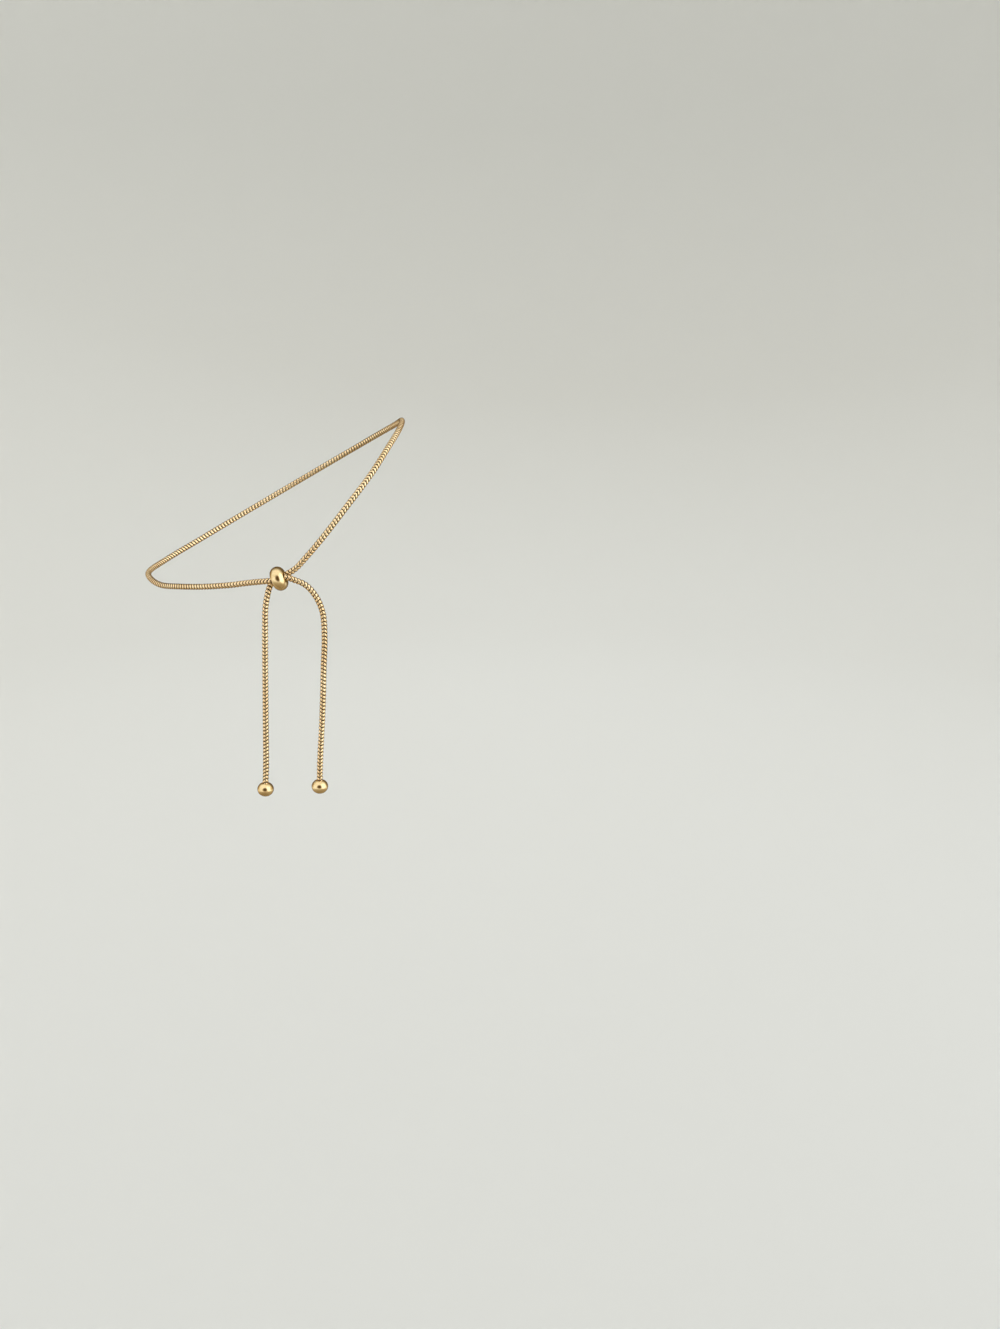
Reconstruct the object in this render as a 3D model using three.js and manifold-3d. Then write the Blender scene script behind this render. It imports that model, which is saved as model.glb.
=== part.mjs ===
// A slider anklet of round snake chain. One chain makes the whole loop. Its two
// ends pass each other through a slider bead, hang down below it and end in a
// polished ball each.
// Millimetres, +Z up, +X towards the front of the loop, which is its highest
// place. The origin is the loop's centre, and the slider is on the -Y side.

import * as THREE from 'three';
import { mergeVertices } from 'three/addons/utils/BufferGeometryUtils.js';
import Module from 'manifold-3d';

const wasm = await Module();
wasm.setup();

// Driving dimensions. The loop is an egg, wider in front, that slopes up
// towards the front. Its near side sags to the slider, which stands a little
// further out.
const loopDepth = 76;
const loopWidth = 54;
const loopSlopeDegrees = 30;
const frontFullness = 0.12;
const sliderAngleDegrees = -96;
const sliderSag = 17;
const sliderStandOff = 2.3;
const leftEndDrop = 51.1;
const rightEndDrop = 49.9;
const chainDiameter = 1.5;
const strandGap = 0.2;
const clearance = 0.15;
const sliderDiameter = 5.9;
const sliderLength = 3.5;
const sliderFaceDiameter = 2.4;
const sliderTiltDegrees = 20;
const strandSlant = 0.25;
const ballDiameter = 4;
const ballHeight = 3.6;
const ballBoreDepth = 1.3;
const ballEndGap = 0.3;

// Fineness of the round shapes
const chainSides = 8;
const stepsPerSpan = 2;
const farSideSpans = 8;
const roundSides = 16;
const ballBands = 12;
const sliderRimSteps = 12;
const cutterOverrun = 1;
const weldDistance = 1e-5;

// What follows from them
const chainRadius = chainDiameter / 2;
const boreRadius = chainRadius + clearance;
const strandOffset = (chainDiameter + strandGap) / 2;
const slotEndRadius = boreRadius + strandSlant;

// Directions in the plane of the drawing, square to Y
function sloped(degrees) {
  const angle = THREE.MathUtils.degToRad(degrees);
  return {
    along: new THREE.Vector3(Math.cos(angle), 0, Math.sin(angle)),
    up: new THREE.Vector3(-Math.sin(angle), 0, Math.cos(angle)),
  };
}
const loop = sloped(loopSlopeDegrees);
const bead = sloped(sliderTiltDegrees);

// A point of the loop. The angle is 0 at the front, 90 on the far side and 180
// at the back. The sag is a share of the slider's, square to the loop's plane,
// and the stand-off a share of the slider's, outwards.
function onLoop(degrees, sagShare = 0, standOffShare = 0) {
  const angle = THREE.MathUtils.degToRad(degrees);
  const halfWidth = loopWidth / 2 * (1 + frontFullness * Math.cos(angle));
  return new THREE.Vector3(0, (halfWidth + standOffShare * sliderStandOff) * Math.sin(angle), 0)
    .addScaledVector(loop.along, loopDepth / 2 * Math.cos(angle))
    .addScaledVector(loop.up, -sagShare * sliderSag);
}
const sliderCentre = onLoop(sliderAngleDegrees, 1, 1);

function fromSlider(forward, inward, up) {
  return new THREE.Vector3(forward, inward, up).add(sliderCentre);
}

// The two strands lie side by side in the slider. Each one runs down towards
// its own free end, so that they cross: the front strand falls to the right,
// the back strand to the left.
function strandThroughSlider(inward, slope) {
  return [-1, 1].map((end) => fromSlider(0, inward, 0)
    .addScaledVector(bead.along, end * sliderLength / 2)
    .addScaledVector(bead.up, end * slope * strandSlant));
}

// The hanging ends below their bends, as shares of each end's drop from the
// slider, with how far forward of it and inward from it they hang
const leftEndRows = [
  { drop: 1, forward: -4.8, inward: -0.6 },
  { drop: 0.89, forward: -4.5, inward: -0.5 },
  { drop: 0.6, forward: -4.2, inward: 0 },
  { drop: 0.3, forward: -3.9, inward: 0.6 },
];
const rightEndRows = [
  { drop: 0.28, forward: 10.6, inward: -1 },
  { drop: 0.44, forward: 10.2, inward: -1.2 },
  { drop: 0.65, forward: 9.7, inward: -1.5 },
  { drop: 0.89, forward: 8.9, inward: -2.1 },
  { drop: 1, forward: 8.7, inward: -2.2 },
];

// The near side of the loop, from the slider to the front and from the back to
// the slider
const nearFrontRows = [
  { angle: -84, sag: 0.94, standOff: 0.4 },
  { angle: -76, sag: 0.835, standOff: 0.2 },
  { angle: -60, sag: 0.605, standOff: 0 },
  { angle: -45, sag: 0.41, standOff: 0 },
  { angle: -30, sag: 0.22, standOff: 0 },
  { angle: -15, sag: 0.09, standOff: 0 },
];
const nearBackRows = [
  { angle: -180, sag: 0.025, standOff: 0 },
  { angle: -167, sag: 0.12, standOff: 0 },
  { angle: -154, sag: 0.27, standOff: 0.15 },
  { angle: -140, sag: 0.41, standOff: 0.3 },
  { angle: -126, sag: 0.59, standOff: 0.5 },
  { angle: -115, sag: 0.74, standOff: 0.75 },
  { angle: -106, sag: 0.86, standOff: 0.95 },
];

// The chain's centre line: up the left free end, back to front through the
// slider, once round the loop, through the slider again and down the right
// free end
const hang = (rows, length) => rows.map((row) => fromSlider(row.forward, row.inward, -row.drop * length));
const wrap = (rows) => rows.map((row) => onLoop(row.angle, row.sag, row.standOff));
const farSide = Array.from({ length: farSideSpans }, (_, i) => onLoop(180 * i / farSideSpans));
const chainRoute = [
  ...hang(leftEndRows, leftEndDrop),
  fromSlider(-3.6, strandOffset, -7.3),
  fromSlider(-3, strandOffset, -4.1),
  fromSlider(-2.3, strandOffset, -1.9),
  ...strandThroughSlider(strandOffset, 1),
  fromSlider(3.8, strandOffset, 2.2),
  ...wrap(nearFrontRows),
  ...farSide,
  ...wrap(nearBackRows),
  fromSlider(-4, 0, -0.7),
  ...strandThroughSlider(-strandOffset, -1),
  fromSlider(3.8, -strandOffset, -0.2),
  fromSlider(6.5, -strandOffset, -1.5),
  fromSlider(8.9, -strandOffset, -4.4),
  fromSlider(10.3, -strandOffset, -8.2),
  ...hang(rightEndRows, rightEndDrop),
];

// A smooth curve with equal steps between each two chosen points, so that the
// short bends beside the slider get close steps and the long sweeps wide ones.
class ChainCurve extends THREE.CatmullRomCurve3 {
  getUtoTmapping(u) {
    return u;
  }
}

function circlePoints(radius, sides) {
  return Array.from({ length: sides }, (_, i) => {
    const angle = (i + 0.5) * 2 * Math.PI / sides;
    return new THREE.Vector2(radius * Math.cos(angle), radius * Math.sin(angle));
  });
}

// Merges the shared vertices, so that only a closed shell is left
function closedShell(geometry) {
  const shell = geometry.clone();
  shell.deleteAttribute('normal');
  shell.deleteAttribute('uv');
  return mergeVertices(shell, weldDistance);
}

function toSolid(geometry) {
  const shell = closedShell(geometry);
  return new wasm.Manifold(new wasm.Mesh({
    numProp: 3,
    vertProperties: new Float32Array(shell.attributes.position.array),
    triVerts: new Uint32Array(shell.index.array),
  }));
}

function toGeometry(solid) {
  const { vertProperties, triVerts } = solid.getMesh();
  const geometry = new THREE.BufferGeometry();
  geometry.setAttribute('position', new THREE.BufferAttribute(vertProperties, 3));
  geometry.setIndex(new THREE.BufferAttribute(triVerts, 1));
  geometry.computeVertexNormals();
  return geometry;
}

function chainGeometry() {
  return closedShell(new THREE.ExtrudeGeometry(new THREE.Shape(circlePoints(chainRadius, chainSides)), {
    extrudePath: new ChainCurve(chainRoute),
    steps: stepsPerSpan * (chainRoute.length - 1),
    bevelEnabled: false,
  }));
}

// A rondelle with its axis along X: small flat faces, and a full rim that is
// half an ellipse, cut through by a round-ended slot that takes both strands
function sliderGeometry() {
  const faceRadius = sliderFaceDiameter / 2;
  const rimDepth = sliderDiameter / 2 - faceRadius;
  const rim = Array.from({ length: sliderRimSteps + 1 }, (_, i) => {
    const angle = Math.PI * (i / sliderRimSteps - 0.5);
    return new THREE.Vector2(
      faceRadius + rimDepth * Math.cos(angle),
      sliderLength / 2 * Math.sin(angle),
    );
  });
  const profile = [
    new THREE.Vector2(0, -sliderLength / 2),
    ...rim,
    new THREE.Vector2(0, sliderLength / 2),
  ];
  const body = new THREE.LatheGeometry(profile, roundSides);
  body.rotateZ(-Math.PI / 2);

  const slotOutline = new THREE.Shape();
  slotOutline.absarc(strandOffset, 0, slotEndRadius, -Math.PI / 2, Math.PI / 2, false);
  slotOutline.absarc(-strandOffset, 0, slotEndRadius, Math.PI / 2, 3 * Math.PI / 2, false);
  const slot = new THREE.ExtrudeGeometry(slotOutline, {
    depth: sliderLength + 2 * cutterOverrun,
    curveSegments: roundSides / 2,
    bevelEnabled: false,
  });
  slot.translate(0, 0, -sliderLength / 2 - cutterOverrun);
  slot.rotateY(Math.PI / 2);
  slot.rotateX(Math.PI / 2);
  return toGeometry(toSolid(body).subtract(toSolid(slot)));
}

// A slightly flattened ball with a blind bore at its top for the end of the
// chain
function ballGeometry() {
  const ball = new THREE.SphereGeometry(ballDiameter / 2, roundSides, ballBands);
  ball.rotateX(Math.PI / 2);
  ball.scale(1, 1, ballHeight / ballDiameter);
  const boreLength = ballBoreDepth + cutterOverrun;
  const bore = new THREE.CylinderGeometry(boreRadius, boreRadius, boreLength, roundSides);
  bore.rotateX(Math.PI / 2);
  bore.translate(0, 0, ballHeight / 2 - ballBoreDepth + boreLength / 2);
  return toGeometry(toSolid(ball).subtract(toSolid(bore)));
}

function addMesh(parent, name, geometry, material) {
  const mesh = new THREE.Mesh(geometry, material);
  mesh.name = name;
  parent.add(mesh);
  return mesh;
}

const chainGold = new THREE.MeshStandardMaterial({ color: '#c9a36b', roughness: 0.3, metalness: 1 });
const polishedGold = new THREE.MeshStandardMaterial({ color: '#dcb878', roughness: 0.12, metalness: 1 });

const anklet = new THREE.Group();
addMesh(anklet, 'snake_chain', chainGeometry(), chainGold);

const slider = addMesh(anklet, 'slider_bead', sliderGeometry(), polishedGold);
slider.position.copy(sliderCentre);
slider.rotation.y = -THREE.MathUtils.degToRad(sliderTiltDegrees);

// Each ball hangs from its end of the chain
const ballDrop = ballHeight / 2 - ballBoreDepth + ballEndGap;
const chainEnds = { end_ball_left: chainRoute[0], end_ball_right: chainRoute[chainRoute.length - 1] };
for (const [name, chainEnd] of Object.entries(chainEnds)) {
  const ball = addMesh(anklet, name, ballGeometry(), polishedGold);
  ball.position.copy(chainEnd);
  ball.position.z -= ballDrop;
}

export default anklet;
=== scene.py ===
# A slider anklet of round snake chain, gold-plated, in the form that it takes
# when it is worn. Metres, +Z up, +X towards the front of the loop.

import math

import bmesh
import bpy
from mathutils import Matrix, Vector


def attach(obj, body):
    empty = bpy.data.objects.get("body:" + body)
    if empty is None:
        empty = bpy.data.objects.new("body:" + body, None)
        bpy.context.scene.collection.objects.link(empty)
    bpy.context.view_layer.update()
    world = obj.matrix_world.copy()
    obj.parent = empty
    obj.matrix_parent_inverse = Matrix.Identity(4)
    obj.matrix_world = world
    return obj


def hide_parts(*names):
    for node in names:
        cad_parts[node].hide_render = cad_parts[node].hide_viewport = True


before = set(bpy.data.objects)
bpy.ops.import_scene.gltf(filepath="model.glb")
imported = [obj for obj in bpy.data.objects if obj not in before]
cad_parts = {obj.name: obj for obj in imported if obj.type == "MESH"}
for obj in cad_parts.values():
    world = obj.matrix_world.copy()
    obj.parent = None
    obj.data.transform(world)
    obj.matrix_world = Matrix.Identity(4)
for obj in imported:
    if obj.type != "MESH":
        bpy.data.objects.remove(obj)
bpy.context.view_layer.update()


# Camera
# It stands as far off as the photograph was taken from, a little to the
# right and above, and looks slightly down on the anklet.
CAMERA_PLACE = (0.0576, -0.3764, 0.0363)
CAMERA_PITCH_DEGREES = 12
CAMERA_LENS = 40
CAMERA_FRAME_WIDTH = 36
CAMERA_CLIP_START = 0.01

camera_data = bpy.data.cameras.new("camera")
camera_data.lens = CAMERA_LENS
camera_data.sensor_width = CAMERA_FRAME_WIDTH
camera_data.clip_start = CAMERA_CLIP_START
camera = bpy.data.objects.new("camera", camera_data)
camera.location = CAMERA_PLACE
camera.rotation_euler = (math.radians(90 - CAMERA_PITCH_DEGREES), 0, 0)
bpy.context.scene.collection.objects.link(camera)
bpy.context.scene.camera = camera


# Snake chain
# One length of round snake chain: wavy brass bands that hook into each other,
# plated in pale gold. It runs up from the left end ball, through the slider,
# once round the loop, back through the slider and down to the right ball.
MM = 0.001
LOOP_DEPTH = 76 * MM
LOOP_WIDTH = 54 * MM
LOOP_SLOPE_DEGREES = 30
FRONT_FULLNESS = 0.12
FAR_SIDE_SPANS = 8
SLIDER_ANGLE_DEGREES = -96
SLIDER_SAG = 17 * MM
SLIDER_STAND_OFF = 2.3 * MM
SLIDER_LENGTH = 3.5 * MM
SLIDER_TILT_DEGREES = 20
LEFT_END_DROP = 51.1 * MM
RIGHT_END_DROP = 49.9 * MM
CHAIN_DIAMETER = 1.5 * MM
STRAND_GAP = 0.2 * MM
STRAND_SLANT = 0.25 * MM
STRAND_OFFSET = (CHAIN_DIAMETER + STRAND_GAP) / 2


def sloped(degrees):
    """The directions along and square to a slope in the XZ plane."""
    angle = math.radians(degrees)
    along = Vector((math.cos(angle), 0, math.sin(angle)))
    up = Vector((-math.sin(angle), 0, math.cos(angle)))
    return along, up


loop_along, loop_up = sloped(LOOP_SLOPE_DEGREES)
bead_along, bead_up = sloped(SLIDER_TILT_DEGREES)


def on_loop(degrees, sag_share=0, stand_off_share=0):
    """A point of the loop: 0 degrees is its front, 180 its back."""
    angle = math.radians(degrees)
    half_width = LOOP_WIDTH / 2 * (1 + FRONT_FULLNESS * math.cos(angle))
    across = (half_width + stand_off_share * SLIDER_STAND_OFF) * math.sin(angle)
    along = loop_along * LOOP_DEPTH / 2 * math.cos(angle)
    return Vector((0, across, 0)) + along - loop_up * sag_share * SLIDER_SAG


slider_centre = on_loop(SLIDER_ANGLE_DEGREES, 1, 1)


def from_slider(forward, inward, up):
    """A point that far from the slider's centre."""
    return slider_centre + Vector((forward, inward, up))


def through_slider(inward, slope):
    """The two mouths of one strand's way through the slider."""
    middle = from_slider(0, inward, 0)
    half = bead_along * SLIDER_LENGTH / 2 + bead_up * slope * STRAND_SLANT
    return [middle - half, middle + half]


def hang(rows, drop):
    """The points of a hanging end."""
    return [
        from_slider(forward * MM, inward * MM, -share * drop) for share, forward, inward in rows
    ]


def wrap(rows):
    """The points of a stretch of the loop."""
    return [on_loop(*row) for row in rows]


# Each hanging end: share of its drop, then millimetres forward and inward
left_end_rows = [
    (1, -4.8, -0.6),
    (0.89, -4.5, -0.5),
    (0.6, -4.2, 0),
    (0.3, -3.9, 0.6),
]
right_end_rows = [
    (0.28, 10.6, -1),
    (0.44, 10.2, -1.2),
    (0.65, 9.7, -1.5),
    (0.89, 8.9, -2.1),
    (1, 8.7, -2.2),
]

# The near side of the loop: angle, share of the sag, share of the stand-off
near_front_rows = [
    (-84, 0.94, 0.4),
    (-76, 0.835, 0.2),
    (-60, 0.605, 0),
    (-45, 0.41, 0),
    (-30, 0.22, 0),
    (-15, 0.09, 0),
]
near_back_rows = [
    (-180, 0.025, 0),
    (-167, 0.12, 0),
    (-154, 0.27, 0.15),
    (-140, 0.41, 0.3),
    (-126, 0.59, 0.5),
    (-115, 0.74, 0.75),
    (-106, 0.86, 0.95),
]
far_side_rows = [(180 * i / FAR_SIDE_SPANS,) for i in range(FAR_SIDE_SPANS)]

# The chain's centre line, from the left end to the right end
chain_route = [
    *hang(left_end_rows, LEFT_END_DROP),
    from_slider(-3.6 * MM, STRAND_OFFSET, -7.3 * MM),
    from_slider(-3 * MM, STRAND_OFFSET, -4.1 * MM),
    from_slider(-2.3 * MM, STRAND_OFFSET, -1.9 * MM),
    *through_slider(STRAND_OFFSET, 1),
    from_slider(3.8 * MM, STRAND_OFFSET, 2.2 * MM),
    *wrap(near_front_rows),
    *wrap(far_side_rows),
    *wrap(near_back_rows),
    from_slider(-4 * MM, 0, -0.7 * MM),
    *through_slider(-STRAND_OFFSET, -1),
    from_slider(3.8 * MM, -STRAND_OFFSET, -0.2 * MM),
    from_slider(6.5 * MM, -STRAND_OFFSET, -1.5 * MM),
    from_slider(8.9 * MM, -STRAND_OFFSET, -4.4 * MM),
    from_slider(10.3 * MM, -STRAND_OFFSET, -8.2 * MM),
    *hang(right_end_rows, RIGHT_END_DROP),
]


def smooth_route(points, steps):
    """A centripetal Catmull-Rom curve through the points."""
    ends = [2 * points[0] - points[1], *points, 2 * points[-1] - points[-2]]
    route = []
    for before, start, end, after in zip(ends, ends[1:], ends[2:], ends[3:]):
        lead = (start - before).length ** 0.5
        span = (end - start).length ** 0.5
        trail = (after - end).length ** 0.5
        leaving = (start - before) / lead - (end - before) / (lead + span) + (end - start) / span
        arriving = (end - start) / span - (after - start) / (span + trail) + (after - end) / trail
        leaving *= span
        arriving *= span
        for step in range(steps):
            t = step / steps
            route.append(
                start
                + leaving * t
                + (3 * (end - start) - 2 * leaving - arriving) * t**2
                + (2 * (start - end) + leaving + arriving) * t**3
            )
    route.append(points[-1])
    return route


ROUTE_STEPS = 20
route_points = smooth_route(chain_route, ROUTE_STEPS)
chain_length = sum((b - a).length for a, b in zip(route_points, route_points[1:]))

# The real bands are 0.56 mm apart, which is too fine to show at the size of
# the picture. They are drawn as coarse as they need to show.
BAND_PITCH = 0.88 * MM
band_count = round(chain_length / BAND_PITCH)
band_pitch = chain_length / band_count

BAND_SIDES = 12
BAND_WAVES = 2
BAND_WAVE_DEPTH = 0.24 * MM
BAND_OVERLAP = 0.01 * MM
BAND_SHOULDER_SHARE = 0.26
BAND_SHOULDER_DEPTH = 0.03 * MM
BAND_EDGE_DEPTH = 0.16 * MM
BAND_THICKNESS = 0.3 * MM
CHAIN_TURNS = 3
WELD_DISTANCE = 1e-7


def link_object(data, name):
    """A new object with that data, linked to the scene."""
    thing = bpy.data.objects.new(name, data)
    bpy.context.scene.collection.objects.link(thing)
    return thing


def mesh_from(form, name):
    """Closes a bmesh's seams, turns its faces outwards and keeps it as a mesh."""
    bmesh.ops.remove_doubles(form, verts=form.verts, dist=WELD_DISTANCE)
    bmesh.ops.recalc_face_normals(form, faces=form.faces)
    mesh = bpy.data.meshes.new(name)
    form.to_mesh(mesh)
    form.free()
    mesh.shade_smooth()
    return mesh


def apply_modifiers(thing):
    """Replaces an object's mesh by the one that its modifiers make."""
    finished = thing.evaluated_get(bpy.context.evaluated_depsgraph_get())
    made = bpy.data.meshes.new_from_object(finished)
    thing.modifiers.clear()
    old = thing.data
    thing.data = made
    bpy.data.meshes.remove(old)


def spun(profile, axis, sides):
    """A bmesh of a profile turned once round an axis through the origin."""
    form = bmesh.new()
    corners = [form.verts.new(point) for point in profile]
    edges = [form.edges.new(pair) for pair in zip(corners, corners[1:])]
    bmesh.ops.spin(
        form,
        geom=corners + edges,
        axis=axis,
        cent=(0, 0, 0),
        angle=math.tau,
        steps=sides,
        use_merge=True,
    )
    return form


# One band: a rounded crown that falls off to a groove on both edges, closed inside, and bent into
# waves round its girth. Its groove attribute runs from 0 on the crown to 1 in the groove, and it
# masks the painted shade in the grooves.
crown_radius = CHAIN_DIAMETER / 2
half_band = band_pitch / 2 + BAND_OVERLAP
half_crown = band_pitch * BAND_SHOULDER_SHARE
band_profile = [
    (-half_band, 0, crown_radius - BAND_EDGE_DEPTH),
    (-half_crown, 0, crown_radius - BAND_SHOULDER_DEPTH),
    (0, 0, crown_radius),
    (half_crown, 0, crown_radius - BAND_SHOULDER_DEPTH),
    (half_band, 0, crown_radius - BAND_EDGE_DEPTH),
    (0, 0, crown_radius - BAND_THICKNESS),
]
band_form = spun([*band_profile, band_profile[0]], (1, 0, 0), BAND_SIDES)
bmesh.ops.remove_doubles(band_form, verts=band_form.verts, dist=WELD_DISTANCE)
groove_layer = band_form.verts.layers.float.new("groove")
for corner in band_form.verts:
    reach = math.hypot(corner.co.y, corner.co.z)
    corner[groove_layer] = min(1, (crown_radius - reach) / BAND_EDGE_DEPTH)
    turn = math.atan2(corner.co.z, corner.co.y)
    corner.co.x += band_pitch / 2 + BAND_WAVE_DEPTH * math.cos(BAND_WAVES * turn)
chain = link_object(mesh_from(band_form, "snake_chain_bands"), "snake_chain_bands")

row_of_bands = chain.modifiers.new("row_of_bands", "ARRAY")
row_of_bands.count = band_count
row_of_bands.use_relative_offset = False
row_of_bands.use_constant_offset = True
row_of_bands.constant_offset_displace = (band_pitch, 0, 0)
apply_modifiers(chain)

# The row of bands is bent along the route, with a slow turn round it
route_curve = bpy.data.curves.new("chain_route", "CURVE")
route_curve.dimensions = "3D"
route_curve.twist_mode = "MINIMUM"
route_curve.use_deform_bounds = False
route_line = route_curve.splines.new("POLY")
route_line.points.add(len(route_points) - 1)
for i, (corner, point) in enumerate(zip(route_line.points, route_points)):
    corner.co = (*point, 1)
    corner.tilt = CHAIN_TURNS * math.tau * i / len(route_points)
route_object = link_object(route_curve, "chain_route")
bend = chain.modifiers.new("along_the_route", "CURVE")
bend.object = route_object
bend.deform_axis = "POS_X"
apply_modifiers(chain)
bpy.data.objects.remove(route_object)


def linear(colour):
    """An sRGB hex colour as linear RGBA."""
    parts = [int(colour[i : i + 2], 16) / 255 for i in (1, 3, 5)]
    return (*[c / 12.92 if c <= 0.04045 else ((c + 0.055) / 1.055) ** 2.4 for c in parts], 1)


def add_node(owner, kind, links=(), **settings):
    """Adds a shader node: its settings, then its sockets' values or sources."""
    node = owner.node_tree.nodes.new("ShaderNode" + kind)
    for name, value in settings.items():
        setattr(node, name, value)
    for socket, source in dict(links).items():
        if isinstance(source, bpy.types.NodeSocket):
            owner.node_tree.links.new(source, node.inputs[socket])
        else:
            node.inputs[socket].default_value = source
    return node


def new_material(name):
    """A node material that holds only its output node, and that node."""
    material = bpy.data.materials.new(name)
    material.use_nodes = True
    material.node_tree.nodes.clear()
    output = add_node(material, "OutputMaterial")
    return material, output


def add_colours(owner, factor, stops):
    """A colour ramp between the given stops."""
    ramp = add_node(owner, "ValToRGB", {"Fac": factor})
    elements = ramp.color_ramp.elements
    while len(elements) < len(stops):
        elements.new(0.5)
    for element, (place, colour) in zip(elements, stops):
        element.position = place
        element.color = linear(colour)
    return ramp.outputs["Color"]


# Pale gold plating over brass chain. The bands' crowns are rubbed bright, more in some patches than
# in others. The grooves between them are painted dark brown as painted shade, which draws each
# band.
CROWN_COLOURS = [(0.35, "#efd4a8"), (0.65, "#fde9c1")]
# Painted shade: the dark brown that is laid in the grooves between the bands, where shade falls
GROOVE_SHADE_COLOUR = "#5a3b18"
CHAIN_PATCH_SIZE = 7 * MM
CHAIN_GRAIN_SIZE = 0.45 * MM
CHAIN_SMOOTHEST = 0.16
CHAIN_DULLEST = 0.28
# Where the painted groove shade begins and where it is full, along the groove attribute
GROOVE_SHADE_START = 0.25
GROOVE_SHADE_FULL = 0.85
# Most of a noise pattern lies between these two
NOISE_LOW = 0.3
NOISE_HIGH = 0.7

chain_plating, output = new_material("gold_plated_snake_chain")
place = add_node(chain_plating, "TexCoord").outputs["Object"]
groove = add_node(chain_plating, "Attribute", attribute_name="groove").outputs["Fac"]
patches = add_node(
    chain_plating, "TexNoise", {"Vector": place, "Scale": 1 / CHAIN_PATCH_SIZE, "Detail": 3.0}
).outputs["Fac"]
grain = add_node(
    chain_plating, "TexNoise", {"Vector": place, "Scale": 1 / CHAIN_GRAIN_SIZE, "Detail": 2.0}
).outputs["Fac"]
crown_colour = add_colours(chain_plating, patches, CROWN_COLOURS)
# Painted shade: the colour turns to the dark groove brown as the groove attribute rises
groove_shade = add_node(
    chain_plating,
    "MapRange",
    {"Value": groove, "From Min": GROOVE_SHADE_START, "From Max": GROOVE_SHADE_FULL},
    interpolation_type="SMOOTHSTEP",
).outputs["Result"]
colour = add_node(
    chain_plating,
    "Mix",
    {"Factor": groove_shade, "A": crown_colour, "B": linear(GROOVE_SHADE_COLOUR)},
    data_type="RGBA",
).outputs["Result"]
chain_roughness = add_node(
    chain_plating,
    "MapRange",
    {
        "Value": grain,
        "From Min": NOISE_LOW,
        "From Max": NOISE_HIGH,
        "To Min": CHAIN_SMOOTHEST,
        "To Max": CHAIN_DULLEST,
    },
).outputs["Result"]
surface = add_node(
    chain_plating,
    "BsdfPrincipled",
    {"Base Color": colour, "Roughness": chain_roughness, "Metallic": 1.0},
)
chain_plating.node_tree.links.new(surface.outputs["BSDF"], output.inputs["Surface"])
chain.data.materials.append(chain_plating)

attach(chain, "root")
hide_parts("snake_chain")


# Slider
# A small turned brass rondelle, polished and plated. Both strands pass through
# one round-ended slot, whose edges are eased so that they don't rub the chain.
SLIDER_DIAMETER = 5.9 * MM
SLIDER_FACE_DIAMETER = 2.4 * MM
SLIDER_RIM_STEPS = 16
SLOT_CLEARANCE = 0.15 * MM
SLOT_EDGE = 0.12 * MM
SLOT_EDGE_STEPS = 4
SLOT_END_STEPS = 22
SLOT_SIDE_STEPS = 10

face_radius = SLIDER_FACE_DIAMETER / 2
rim_depth = SLIDER_DIAMETER / 2 - face_radius
slot_radius = CHAIN_DIAMETER / 2 + SLOT_CLEARANCE + STRAND_SLANT


def slot_outline(radius):
    """The slot's outline, inward and up, with round ends of the given radius."""
    outline = []
    for side in (1, -1):
        for step in range(SLOT_END_STEPS):
            angle = math.pi * (step / SLOT_END_STEPS - 0.5)
            inward = side * (STRAND_OFFSET + radius * math.cos(angle))
            outline.append((inward, side * radius * math.sin(angle)))
        for step in range(SLOT_SIDE_STEPS):
            inward = side * STRAND_OFFSET * (1 - 2 * step / SLOT_SIDE_STEPS)
            outline.append((inward, side * radius))
    return outline


def on_rim(inward, up, share):
    """The point that lies a share of the way from a slot edge to the rim's top."""
    reach = math.hypot(inward, up)
    edge_angle = math.asin((reach - face_radius) / rim_depth)
    angle = edge_angle + (math.pi / 2 - edge_angle) * share
    radius = face_radius + rim_depth * math.sin(angle)
    return SLIDER_LENGTH / 2 * math.cos(angle), inward * radius / reach, up * radius / reach


# The rings of one half, from the slot's wall over its eased edge to the rim's
# top. The other half mirrors them.
mouth = slot_outline(slot_radius + SLOT_EDGE)
slider_rings = []
for step in range(SLOT_EDGE_STEPS):
    angle = math.pi / 2 * step / SLOT_EDGE_STEPS
    wall = slot_outline(slot_radius + SLOT_EDGE * (1 - math.cos(angle)))
    depth = SLOT_EDGE * (1 - math.sin(angle))
    slider_rings.append([
        (on_rim(*edge, 0)[0] - depth, *point) for edge, point in zip(mouth, wall)
    ])
for step in range(SLIDER_RIM_STEPS + 1):
    slider_rings.append([on_rim(*edge, step / SLIDER_RIM_STEPS) for edge in mouth])
slider_rings += [[(-x, y, z) for x, y, z in ring] for ring in reversed(slider_rings[:-1])]

slider_form = bmesh.new()
ring_edges = []
for ring in slider_rings:
    corners = bmesh.ops.create_circle(slider_form, segments=len(ring), radius=1)["verts"]
    for corner, point in zip(corners, ring):
        corner.co = point
    ring_edges.append({edge for corner in corners for edge in corner.link_edges})
for first, second in zip(ring_edges, [*ring_edges[1:], ring_edges[0]]):
    bmesh.ops.bridge_loops(slider_form, edges=list(first | second))
slider_turn = Matrix.Rotation(-math.radians(SLIDER_TILT_DEGREES), 4, "Y")
slider_place = Matrix.Translation(slider_centre) @ slider_turn
bmesh.ops.transform(slider_form, matrix=slider_place, verts=slider_form.verts)
slider = link_object(mesh_from(slider_form, "slider_rondelle"), "slider_rondelle")

# Polished gold plating on brass. It mirrors the room a little softly, with
# faint waves left by the buffing wheel and dull smears left by handling.
POLISH_COLOURS = [(0.35, "#e0c592"), (0.6, "#f0dbac")]
SMEAR_SIZE = 1.6 * MM
BUFFING_SIZE = 0.9 * MM
BUFFING_DEPTH = 0.004 * MM
BUFFING_STRENGTH = 0.3
POLISH_HANDLED = 0.22
POLISH_CLEAN = 0.14

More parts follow.
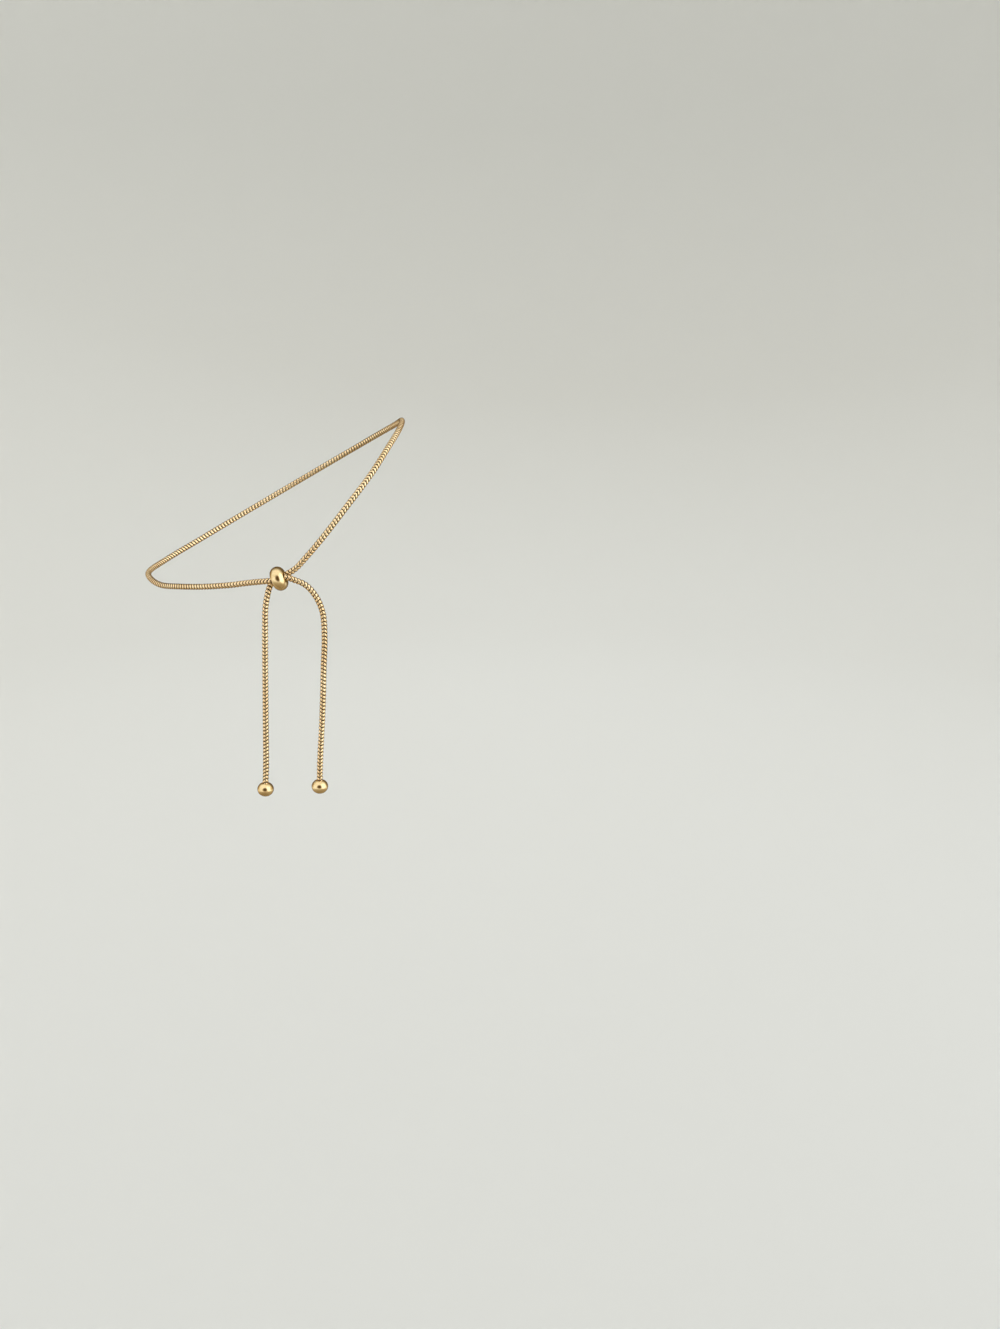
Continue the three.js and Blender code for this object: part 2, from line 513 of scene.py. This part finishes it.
polished, output = new_material("polished_gold_plated_brass")
place = add_node(polished, "TexCoord").outputs["Object"]
smears = add_node(
    polished, "TexNoise", {"Vector": place, "Scale": 1 / SMEAR_SIZE, "Detail": 4.0}
).outputs["Fac"]
waves = add_node(
    polished, "TexNoise", {"Vector": place, "Scale": 1 / BUFFING_SIZE, "Detail": 1.0}
).outputs["Fac"]
colour = add_colours(polished, smears, POLISH_COLOURS)
shine = add_node(
    polished,
    "MapRange",
    {
        "Value": smears,
        "From Min": NOISE_LOW,
        "From Max": NOISE_HIGH,
        "To Min": POLISH_HANDLED,
        "To Max": POLISH_CLEAN,
    },
).outputs["Result"]
ripple = add_node(
    polished, "Bump", {"Height": waves, "Strength": BUFFING_STRENGTH, "Distance": BUFFING_DEPTH}
).outputs["Normal"]
surface = add_node(
    polished,
    "BsdfPrincipled",
    {"Base Color": colour, "Roughness": shine, "Metallic": 1.0, "Normal": ripple},
)
polished.node_tree.links.new(surface.outputs["BSDF"], output.inputs["Surface"])
slider.data.materials.append(polished)

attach(slider, "root")
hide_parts("slider_bead")


# End balls
# Slightly flattened brass beads, polished and plated like the slider. The
# chain's end is glued into a blind bore with an eased edge.
BALL_DIAMETER = 4 * MM
BALL_HEIGHT = 3.6 * MM
BALL_SIDES = 64
BALL_STEPS = 32
BORE_RADIUS = CHAIN_DIAMETER / 2 + SLOT_CLEARANCE
BORE_DEPTH = 1.3 * MM
BORE_EDGE = 0.1 * MM
BORE_EDGE_STEPS = 3
CHAIN_END_GAP = 0.3 * MM

mouth_angle = math.asin((BORE_RADIUS + BORE_EDGE) / (BALL_DIAMETER / 2))
mouth_height = BALL_HEIGHT / 2 * math.cos(mouth_angle)
bore_floor = BALL_HEIGHT / 2 - BORE_DEPTH
ball_profile = [(0, 0, bore_floor), (BORE_RADIUS, 0, bore_floor)]
for step in range(BORE_EDGE_STEPS):
    angle = math.pi / 2 * step / BORE_EDGE_STEPS
    ball_profile.append((
        BORE_RADIUS + BORE_EDGE * (1 - math.cos(angle)),
        0,
        mouth_height - BORE_EDGE * (1 - math.sin(angle)),
    ))
for step in range(BALL_STEPS + 1):
    angle = mouth_angle + (math.pi - mouth_angle) * step / BALL_STEPS
    ball_profile.append((BALL_DIAMETER / 2 * math.sin(angle), 0, BALL_HEIGHT / 2 * math.cos(angle)))

for side, chain_end in (("left", chain_route[0]), ("right", chain_route[-1])):
    ball_form = spun(ball_profile, (0, 0, 1), BALL_SIDES)
    ball_centre = chain_end - Vector((0, 0, bore_floor + CHAIN_END_GAP))
    bmesh.ops.translate(ball_form, vec=ball_centre, verts=ball_form.verts)
    ball = link_object(mesh_from(ball_form, f"ball_{side}"), f"ball_{side}")
    ball.data.materials.append(polished)
    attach(ball, "root")
    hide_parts(f"end_ball_{side}")


# Studio
# A pale paper floor that sweeps up into a wall all round, so that every side
# is seen against the same plain ground.
FLOOR_HEIGHT = -0.18
FLOOR_RADIUS = 0.75
SWEEP_RADIUS = 0.45
WALL_TOP = 1.3
SWEEP_STEPS = 16
PAPER = "#e2e3e0"
PAPER_ROUGHNESS = 0.9
PAPER_SIDES = 64

paper_profile = [(0, 0, FLOOR_HEIGHT)]
for step in range(SWEEP_STEPS + 1):
    angle = math.pi / 2 * step / SWEEP_STEPS
    paper_profile.append((
        FLOOR_RADIUS + SWEEP_RADIUS * math.sin(angle),
        0,
        FLOOR_HEIGHT + SWEEP_RADIUS * (1 - math.cos(angle)),
    ))
paper_profile.append((FLOOR_RADIUS + SWEEP_RADIUS, 0, WALL_TOP))
paper_form = spun(paper_profile, (0, 0, 1), PAPER_SIDES)
paper = link_object(mesh_from(paper_form, "paper_sweep"), "paper_sweep")
paper_material, output = new_material("pale_matt_paper")
surface = add_node(
    paper_material,
    "BsdfPrincipled",
    {"Base Color": linear(PAPER), "Roughness": PAPER_ROUGHNESS},
)
paper_material.node_tree.links.new(surface.outputs["BSDF"], output.inputs["Surface"])
paper.data.materials.append(paper_material)
paper.visible_glossy = False

# Soft boxes that light the paper: place, width and height in metres, watts.
# Their light is a little cool, to balance the warm room.
SOFT_BOXES = {
    "left_box": ((-0.55, -0.35, 0.5), (0.5, 0.5), 1.3),
    "right_box": ((0.7, -0.15, 0.3), (0.4, 0.6), 1.4),
    "back_box": ((0.1, 0.75, 0.5), (0.6, 0.6), 1.1),
    "top_box": ((0.0, 0.1, 0.8), (0.7, 0.7), 0.2),
}
DAYLIGHT = "#e9f2ff"
BOXES_AIM = Vector((0, 0, -0.02))
for name, (stand, size, watts) in SOFT_BOXES.items():
    light = bpy.data.lights.new(name, "AREA")
    light.shape = "RECTANGLE"
    light.size, light.size_y = size
    light.energy = watts
    light.color = linear(DAYLIGHT)[:3]
    lamp = link_object(light, name)
    lamp.location = stand
    lamp.rotation_euler = (BOXES_AIM - Vector(stand)).to_track_quat("-Z", "Y").to_euler()
    lamp.visible_camera = False
    lamp.visible_glossy = False

# What the metal mirrors: a room whose floor is dim below and pale further
# off, with warm walls and a bright ceiling, from the nadir up to the zenith
FLOOR_TO_CEILING = [
    (0.0, "#8c7d64"),
    (0.22, "#a99c86"),
    (0.38, "#f3eee6"),
    (0.48, "#c4b292"),
    (0.62, "#ae9b7b"),
    (0.8, "#f4f0e8"),
]
ROOM_BRIGHTNESS = 1.3
# Each patch: its direction, the cosine at its soft edge and at its full
# strength, its colour and its brightness. Dim behind the anklet, a window on
# each side, and a dark spot in front.
ROOM_PATCHES = [
    ((0.0, 1.0, 0.2), 0.2, 0.9, "#7a6a50", 0.8),
    ((0.85, -0.45, 0.3), 0.66, 0.9, "#fffdf8", 1.9),
    ((-0.85, -0.4, 0.25), 0.74, 0.94, "#fffdf8", 1.2),
    ((0.02, -0.96, 0.2), 0.78, 0.96, "#5e4830", 1.1),
]

world = bpy.data.worlds.new("room")
world.use_nodes = True
world.node_tree.nodes.clear()
direction = add_node(world, "TexCoord").outputs["Generated"]
height = add_node(world, "SeparateXYZ", {"Vector": direction}).outputs["Z"]
share = add_node(
    world,
    "MapRange",
    {"Value": height, "From Min": -1.0, "From Max": 1.0},
).outputs["Result"]
room = add_node(
    world,
    "VectorMath",
    {0: add_colours(world, share, FLOOR_TO_CEILING), "Scale": ROOM_BRIGHTNESS},
    operation="SCALE",
).outputs["Vector"]
for towards, edge, full, colour, brightness in ROOM_PATCHES:
    nearness = add_node(
        world,
        "VectorMath",
        {0: direction, 1: Vector(towards).normalized()},
        operation="DOT_PRODUCT",
    ).outputs["Value"]
    cover = add_node(
        world,
        "MapRange",
        {"Value": nearness, "From Min": edge, "From Max": full},
        interpolation_type="SMOOTHSTEP",
    ).outputs["Result"]
    patch = Vector(linear(colour)[:3]) * brightness
    room = add_node(
        world,
        "Mix",
        {"Factor": cover, "A": room, "B": patch},
        data_type="VECTOR",
    ).outputs["Result"]
sky = add_node(world, "Background", {"Color": room})
add_node(world, "OutputWorld", {"Surface": sky.outputs["Background"]})
bpy.context.scene.world = world
bpy.context.scene.view_settings.view_transform = "Standard"
